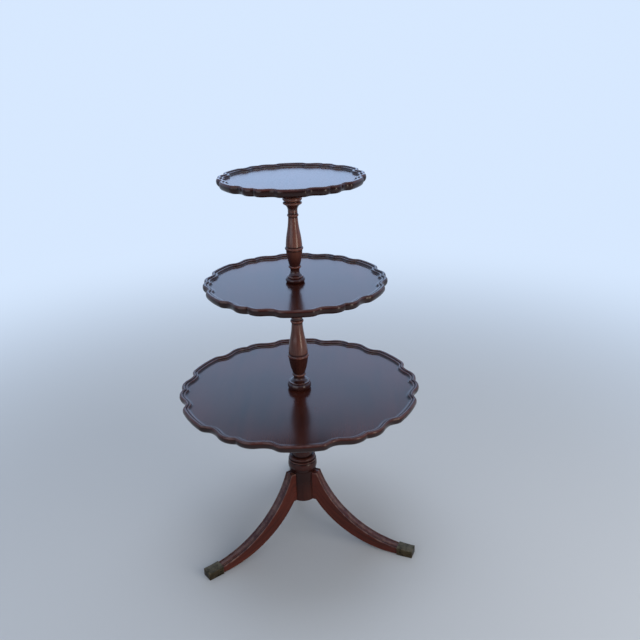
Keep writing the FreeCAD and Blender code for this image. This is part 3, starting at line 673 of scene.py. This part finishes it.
def make_upper_column():
    """The column from the middle tray up to the top tray's bearer."""
    low, _ = heights_of("upper_column")
    top, _ = heights_of("top_bearer")
    profile = Profile(19.0, low)
    painted_shades = turned_foot(
        profile, foot=22.5, collar=19.0, waist=10.5, base=12.5, waist_bead=14.75, bulb=19.0,
        heights=(11.0, 4.0, 19.0, 6.0, 37.5))
    turned_head(
        profile, top, ring=21.25, vase=19.0, neck_bead=13.0, neck=11.0, capital=22.25, head=18.5,
        heights=(8.0, 7.0, 5.3, 16.0, 18.0, 11.0))
    make_turned("upper_turned_column", "upper_column", turned_wood, profile, painted_shades)


def make_lower_column():
    """The stouter column between the bottom and the middle tray."""
    low, top = heights_of("lower_column")
    profile = Profile(26.0, low)
    painted_shades = turned_foot(
        profile, foot=28.75, collar=26.0, waist=13.5, base=14.5, waist_bead=16.5, bulb=23.75,
        heights=(16.0, 4.0, 14.0, 6.5, 42.5))
    turned_head(
        profile, top, ring=25.5, vase=23.5, neck_bead=16.0, neck=13.25, capital=26.5, head=22.5,
        heights=(9.5, 8.0, 6.3, 20.5, 20.0, 18.5))
    # The whole lower column gets painted shade, as it stands under the middle tray
    make_turned("lower_turned_column", "lower_column", turned_wood, profile,
                (*painted_shades, (top, LOWER_COLUMN_SHADE)))


def make_pedestal():
    """The drum that takes the legs, and the turned forms between it and the bottom tray."""
    low, top = heights_of("pedestal")
    drum_top = low + DRUM_HEIGHT
    collar_top = drum_top + COLLAR_HEIGHT
    profile = Profile(DRUM_RADIUS - FINE_DEPTH, low)
    profile.line(DRUM_RADIUS, low + FINE_DEPTH)
    profile.line(DRUM_RADIUS, drum_top - FINE_WIDTH)
    profile.quirk()
    profile.bead(COLLAR_RADIUS, COLLAR_TOP_RADIUS, collar_top - FINE_WIDTH)
    profile.quirk()
    profile.bead(LOW_RING_RADIUS, LOW_RING_TOP_RADIUS, collar_top + LOW_RING_HEIGHT - FINE_WIDTH)
    turned_head(
        profile, top, ring=33.5, vase=25.5, neck_bead=22.0, neck=18.5, capital=32.0, head=28.0,
        heights=(RINGS_HEIGHT - LOW_RING_HEIGHT, 9.0, 7.0, 20.0, 16.5, 6.5))
    # The whole pedestal gets painted shade, as it stands under the bottom tray
    make_turned("turned_pedestal", "pedestal", shaded_pedestal_wood, profile, [(top, PEDESTAL_SHADE)])


make_upper_column()
make_lower_column()
make_pedestal()


# Legs and toes

BASE_ANGLE = 95.0
LEGS_APART = 120.0
LEG_ANGLES = {"back": BASE_ANGLE, "left": BASE_ANGLE + LEGS_APART, "right": BASE_ANGLE + 2 * LEGS_APART}
LEG_HALF = 13.0
LEG_STATIONS = 48
ROOT_LOW = 112.0
ROOT_HEIGHT = 79.5
ROOT_TOP = ROOT_LOW + ROOT_HEIGHT
TOE_REACH = 299.0

# The toe cap, and how far inside it the leg and the cap's wall are shown
CAP_LENGTH = 40.0
CAP_WALL = 1.6
JOINT_PLAY = 0.15
CAP_SKIN = CAP_WALL + JOINT_PLAY
CAP_EDGE = 1.1
LET_IN = 4.0
ROUND_STEPS = 4

# A leg's level shoulders beside the drum, how far from the toe's end its top and underside are lowest,
# and the top's height there
SHOULDER_TOP = 9.6
SHOULDER_UNDER = 5.9
SABRE_TOP_SHORT = 6.0
SABRE_UNDER_SHORT = 49.0
SABRE_TOP_LOW = 17.2

# Soft corners, reeds, grooves and the crowned band across a leg, and how far wear reaches from its edges
LEG_SOFT = 1.2
CORNER_CUT = 0.36
REED_WIDTH = 3.6
GROOVE_WIDTH = 2.2
GROOVE_DEPTH = 1.5
THIN_REED = 2.0
THIN_REED_DROP = 0.72
FINE_GROOVE = 0.9
BAND_DROP = 0.48
EDGE_WEAR = 2.8

# Relief that stands for a painted highlight on a leg's top, and for wear along a toe cap's edges
TOP_HIGHLIGHT = 0.5
TOE_EDGE_WEAR = 0.9

# Each leg is cut from another stretch of the wood, this far along it for each degree of its angle
LEG_GRAIN_SHIFT = 9


class Sabre:
    """One curve of a leg: an arc, level at its low end, that rises to the leg's root."""

    def __init__(self, low_out, low, root_out, root):
        run = low_out - root_out
        rise = root - low
        self.low_out = low_out
        self.low = low
        self.root_out = root_out
        self.radius = (run * run + rise * rise) / (2 * rise)

    def height(self, out, lift):
        """Height of the curve, raised square to itself by lift, at a distance from the axis."""
        radius = self.radius - lift
        away = self.low_out - out
        return self.low + self.radius - math.sqrt(radius * radius - away * away)

    def along(self, share, end_out):
        """Point at a share of the way from the root to a distance from the axis.

        Past the low end, the way is level."""
        start = math.asin((self.low_out - self.root_out) / self.radius)
        stop = math.asin((self.low_out - end_out) / self.radius) if end_out < self.low_out else 0.0
        level = max(0.0, end_out - self.low_out)
        length = share * ((start - stop) * self.radius + level)
        past = length - start * self.radius
        if past > 0:
            return self.low_out + past, self.low
        angle = start - length / self.radius
        rise = self.radius * (1 - math.cos(angle))
        return self.low_out - self.radius * math.sin(angle), self.low + rise


TOP_CURVE = Sabre(TOE_REACH - SABRE_TOP_SHORT, SABRE_TOP_LOW, DRUM_RADIUS + SHOULDER_TOP, ROOT_TOP)
UNDER_CURVE = Sabre(TOE_REACH - SABRE_UNDER_SHORT, CAP_SKIN, DRUM_RADIUS + SHOULDER_UNDER, ROOT_LOW)


def leg_section(height):
    """Outline across a leg: soft lower corners, and reeds and a crowned band on top.

    On each side of the top lie an edge reed, a groove, a thin reed and a fine groove."""
    reed_inner = LEG_HALF - REED_WIDTH
    thin_outer = reed_inner - GROOVE_WIDTH
    thin_inner = thin_outer - THIN_REED
    band = thin_inner - FINE_GROOVE
    shoulder = height - LEG_SOFT
    thin_shoulder = height - THIN_REED_DROP
    band_shoulder = height - BAND_DROP
    groove = height - GROOVE_DEPTH
    right = [(LEG_HALF - LEG_SOFT, 0.0)]
    right += arc_points(right[-1], (LEG_HALF - CORNER_CUT, CORNER_CUT), (LEG_HALF, LEG_SOFT), count=3)
    right += [(LEG_HALF, up) for up in (LEG_SOFT + EDGE_WEAR, height / 2, shoulder - EDGE_WEAR, shoulder)]
    right += arc_points(right[-1], (LEG_HALF - REED_WIDTH / 2, height), (reed_inner, shoulder), count=6)
    right += [(reed_inner, groove), (thin_outer, groove), (thin_outer, thin_shoulder)]
    thin_crown = (between(thin_outer, thin_inner), height)
    right += arc_points(right[-1], thin_crown, (thin_inner, thin_shoulder), count=4)
    right += [(thin_inner, shoulder), (band, shoulder), (band, band_shoulder)]
    crown_side = (between(band, band / 2), height - BAND_DROP / 4)
    right += arc_points(right[-1], crown_side, (band / 2, height), count=4)
    return right + [(-side, up) for side, up in reversed(right)]


def make_leg(name):
    """A sabre leg from the drum's face to inside its toe cap."""
    end = TOE_REACH - CAP_LENGTH + LET_IN
    pairs = [((DRUM_RADIUS, ROOT_LOW), (DRUM_RADIUS, ROOT_TOP))]
    for step in range(LEG_STATIONS + 1):
        share = step / LEG_STATIONS
        pairs.append((UNDER_CURVE.along(share, end), TOP_CURVE.along(share, end)))
    way = math.radians(LEG_ANGLES[name])
    root_middle = (DRUM_RADIUS, between(ROOT_LOW, ROOT_TOP))
    rings = []
    stand_out = []
    grain = []
    for number, (under, top) in enumerate(pairs):
        height = math.dist(under, top)
        section = leg_section(height)
        ring = []
        for side, up in section:
            out = between(under[0], top[0], up / height)
            level = between(under[1], top[1], up / height)
            if number == 0:
                out = math.sqrt(DRUM_RADIUS ** 2 - side ** 2)
            ring.append(swung(out, side, level, way))
        rings.append(ring)
        # Painted highlight: the leg's top is lifted in relief so it takes the light wear colour
        lit_from = height - GROOVE_DEPTH / 2
        values = relief(section, reach=LEG_REACH, closed=True)
        stand_out.append([value + (TOP_HIGHLIGHT if up > lit_from else 0.0)
                          for value, (_, up) in zip(values, section)])
        middle = (between(under[0], top[0]), between(under[1], top[1]))
        length = math.dist(middle, root_middle) + LEG_ANGLES[name] * LEG_GRAIN_SHIFT
        grain.append([(length, side, up) for side, up in section])
    make_piece("sabre_leg_" + name, "leg_" + name, leg_wood, rings, stand_out, grain)


def rounded_box(half_width, low, high, radius):
    """Outline of an upright box with rounded corners."""
    corners = ((half_width, low, 1, -1), (half_width, high, 1, 1), (-half_width, high, -1, 1),
               (-half_width, low, -1, -1))
    points = []
    for number, (side, level, across, up) in enumerate(corners):
        for step in range(ROUND_STEPS + 1):
            angle = math.pi / 2 * (number - 1 + step / ROUND_STEPS)
            points.append((side - across * radius + radius * math.cos(angle),
                           level - up * radius + radius * math.sin(angle)))
    return points


def make_toe_cap(name):
    """A brass box toe: a thin-walled mouth round the leg, soft edges and a closed end."""
    mouth = TOE_REACH - CAP_LENGTH
    lip = CAP_EDGE / 3
    stations = [(mouth + LET_IN, CAP_WALL), (mouth, CAP_WALL), (mouth, lip), (mouth + lip, 0.0)]
    mouth_stations = len(stations)
    stations += [(between(mouth, TOE_REACH, share), 0.0) for share in (0.25, 0.5, 0.75)]
    for step in range(ROUND_STEPS + 1):
        angle = math.pi / 2 * step / ROUND_STEPS
        stations.append((TOE_REACH - CAP_EDGE * (1 - math.sin(angle)), CAP_EDGE * (1 - math.cos(angle))))
    way = math.radians(LEG_ANGLES[name])
    half_width = LEG_HALF + CAP_SKIN
    rings = []
    stand_out = []
    for number, (out, inset) in enumerate(stations):
        top = TOP_CURVE.height(out, CAP_SKIN)
        section = rounded_box(half_width - inset, inset, top - inset, CAP_EDGE)
        rings.append([swung(out, side, level, way) for side, level in section])
        at_edge = TOE_EDGE_WEAR if inset > 0 or number < mouth_stations else 0.0
        values = relief(section, reach=BRASS_REACH, closed=True)
        stand_out.append([max(value, at_edge) for value in values])
    make_piece("brass_toe_" + name, "toe_cap_" + name, brass, rings, stand_out, rings,
               ends=(False, True))


for leg in LEG_ANGLES:
    make_leg(leg)
    make_toe_cap(leg)


# Pieces whose CAD shape is shown as it is

def dress(material, *nodes):
    """Give CAD nodes a finish."""
    for node in nodes:
        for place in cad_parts[node].material_slots:
            place.material = material


dress(block_wood, "top_bearer", "middle_bearer", "bottom_bearer")
dress(brass, "toe_cap_pins")
dress(steel, "upper_stud", "lower_stud", "dovetail_plate", "dovetail_plate_screws",
      "top_bearer_screws", "middle_bearer_screws", "bottom_bearer_screws")


# Floor, light and camera

# Colours of the backdrop, of the sky and panel that reflections see, and of the lamps
BACKDROP = (0.68, 0.81, 1.0)
MIRRORED = (0.50, 0.68, 1.0)
PANEL = (0.47, 0.66, 1.0)
WARM = (1.0, 0.88, 0.75)
COOL = (0.94, 0.94, 1.0)
DAYLIGHT = (0.95, 0.97, 1.0)

# The floor, which turns into the backdrop between two distances from the pillar; reflections see part
# of that turn, and more of it towards the back
FLOOR_COLOUR = (0.50, 0.55, 0.62)
FLOOR_REACH = 12.0
FLOOR_NEAR = 0.45
FLOOR_FAR = 3.0
FLOOR_BEHIND = (-0.2, 1.0)
FLOOR_MIRRORED = 0.35

# The even light, and the mirrored sky, which grows brighter behind the table and above it
EVEN_LIGHT = (0.92, 0.96, 1.0)
EVEN_STRENGTH = 0.38
SKY_BEHIND = 0.8
SKY_ABOVE = 1.2
SKY_LEAN = (-0.7, 0.3)
SKY_STRENGTH = (0.12, 1.0)

# The photograph's viewpoint, with the lens's length in pixels of a picture that is this wide
SENSOR_WIDTH = 36.0
PICTURE_WIDTH = 640
LENS_PIXELS = 725.8
CAMERA_PLACE = (0.0, -1.610, 1.2351)
CAMERA_TURN = (68.484, 1.435, -2.520)


def make_floor():
    """A plain pale floor that takes the shadow, and runs into the backdrop far off."""
    mesh = bpy.data.meshes.new("floor")
    corners = [(-1, -1), (1, -1), (1, 1), (-1, 1)]
    mesh.from_pydata([(x * FLOOR_REACH, y * FLOOR_REACH, 0) for x, y in corners], [], [(0, 1, 2, 3)])
    material, tree, shader = new_material("floor_paint")
    feed(tree, shader, {"Base Color": (*FLOOR_COLOUR, 1.0), "Roughness": 0.9, "Specular IOR Level": 0.1})
    place = object_place(tree)
    away = add(tree, "ShaderNodeVectorMath", {0: place}, operation="LENGTH").outputs["Value"]
    fade = add(tree, "ShaderNodeMapRange", {
        "Value": away, "From Min": FLOOR_NEAR, "From Max": FLOOR_FAR}, interpolation_type="SMOOTHERSTEP")
    path = add(tree, "ShaderNodeLightPath")
    depth = add(tree, "ShaderNodeSeparateXYZ", {0: place}).outputs["Y"]
    behind = span(tree, depth, FLOOR_BEHIND, (0.0, FLOOR_MIRRORED))
    seen = plus(tree, path.outputs["Is Camera Ray"], times(tree, behind, path.outputs["Is Glossy Ray"]))
    far = times(tree, fade.outputs["Result"], seen)
    backdrop = add(tree, "ShaderNodeEmission", {"Color": (*BACKDROP, 1.0), "Strength": 1.0})
    surface = add(tree, "ShaderNodeMixShader", {0: far, 1: shader.outputs[0], 2: backdrop.outputs[0]})
    feed(tree, tree.nodes["Material Output"], {"Surface": surface.outputs[0]})
    mesh.materials.append(material)
    floor = bpy.data.objects.new("floor", mesh)
    bpy.context.scene.collection.objects.link(floor)


def make_world():
    """Even light all round; the camera sees the backdrop, and reflections see a sky."""
    world = bpy.data.worlds.new("studio")
    bpy.context.scene.world = world
    world.use_nodes = True
    tree = world.node_tree
    tree.nodes.clear()
    way = add(tree, "ShaderNodeSeparateXYZ", {0: add(tree, "ShaderNodeTexCoord").outputs["Generated"]})
    lean = plus(tree, times(tree, way.outputs["Y"], SKY_BEHIND), times(tree, way.outputs["Z"], SKY_ABOVE))
    bright = span(tree, lean, SKY_LEAN, SKY_STRENGTH)
    light = add(tree, "ShaderNodeBackground", {"Color": (*EVEN_LIGHT, 1.0), "Strength": EVEN_STRENGTH})
    mirrored = add(tree, "ShaderNodeBackground", {"Color": (*MIRRORED, 1.0), "Strength": bright})
    backdrop = add(tree, "ShaderNodeBackground", {"Color": (*BACKDROP, 1.0), "Strength": 1.0})
    path = add(tree, "ShaderNodeLightPath")
    lit = add(tree, "ShaderNodeMixShader", {
        0: path.outputs["Is Glossy Ray"], 1: light.outputs[0], 2: mirrored.outputs[0]})
    chosen = add(tree, "ShaderNodeMixShader", {
        0: path.outputs["Is Camera Ray"], 1: lit.outputs[0], 2: backdrop.outputs[0]})
    add(tree, "ShaderNodeOutputWorld", {"Surface": chosen.outputs[0]})


def make_light(name, place, aim, width, height, power, colour, mirrored=True):
    """A soft oblong lamp, which shows in reflections or only lights."""
    lamp = bpy.data.lights.new(name, "AREA")
    lamp.shape = "RECTANGLE"
    lamp.size = width
    lamp.size_y = height
    lamp.energy = power
    lamp.color = colour
    holder = bpy.data.objects.new(name, lamp)
    holder.location = place
    holder.rotation_euler = (Vector(aim) - Vector(place)).to_track_quat("-Z", "Y").to_euler()
    holder.visible_camera = False
    holder.visible_glossy = mirrored
    bpy.context.scene.collection.objects.link(holder)


def make_camera():
    """The photograph's viewpoint and framing."""
    lens = bpy.data.cameras.new("camera")
    lens.sensor_width = SENSOR_WIDTH
    lens.lens = SENSOR_WIDTH * LENS_PIXELS / PICTURE_WIDTH
    holder = bpy.data.objects.new("camera", lens)
    holder.location = CAMERA_PLACE
    holder.rotation_euler = [math.radians(angle) for angle in CAMERA_TURN]
    bpy.context.scene.collection.objects.link(holder)
    bpy.context.scene.camera = holder


make_floor()
make_world()
make_light("key", place=(1.9, -1.7, 1.15), aim=(0, 0, 0.75), width=2.6, height=2.1, power=40,
           colour=WARM, mirrored=False)
make_light("strip", place=(1.75, -1.75, 0.6), aim=(0, 0, 0.6), width=0.6, height=0.9, power=8.7,
           colour=WARM)
make_light("fill", place=(-1.9, -2.1, 1.2), aim=(0, 0, 0.9), width=2.8, height=1.6, power=18,
           colour=COOL)
make_light("overhead", place=(0.0, 0.5, 3.0), aim=(0, 0, 0.5), width=2.2, height=2.2, power=32,
           colour=DAYLIGHT)
make_light("back_panel", place=(0.0, 3.0, 1.5), aim=(0, 0, 1.5), width=1.8, height=1.3, power=8.0,
           colour=PANEL)
make_camera()
bpy.context.scene.view_settings.view_transform = "Standard"
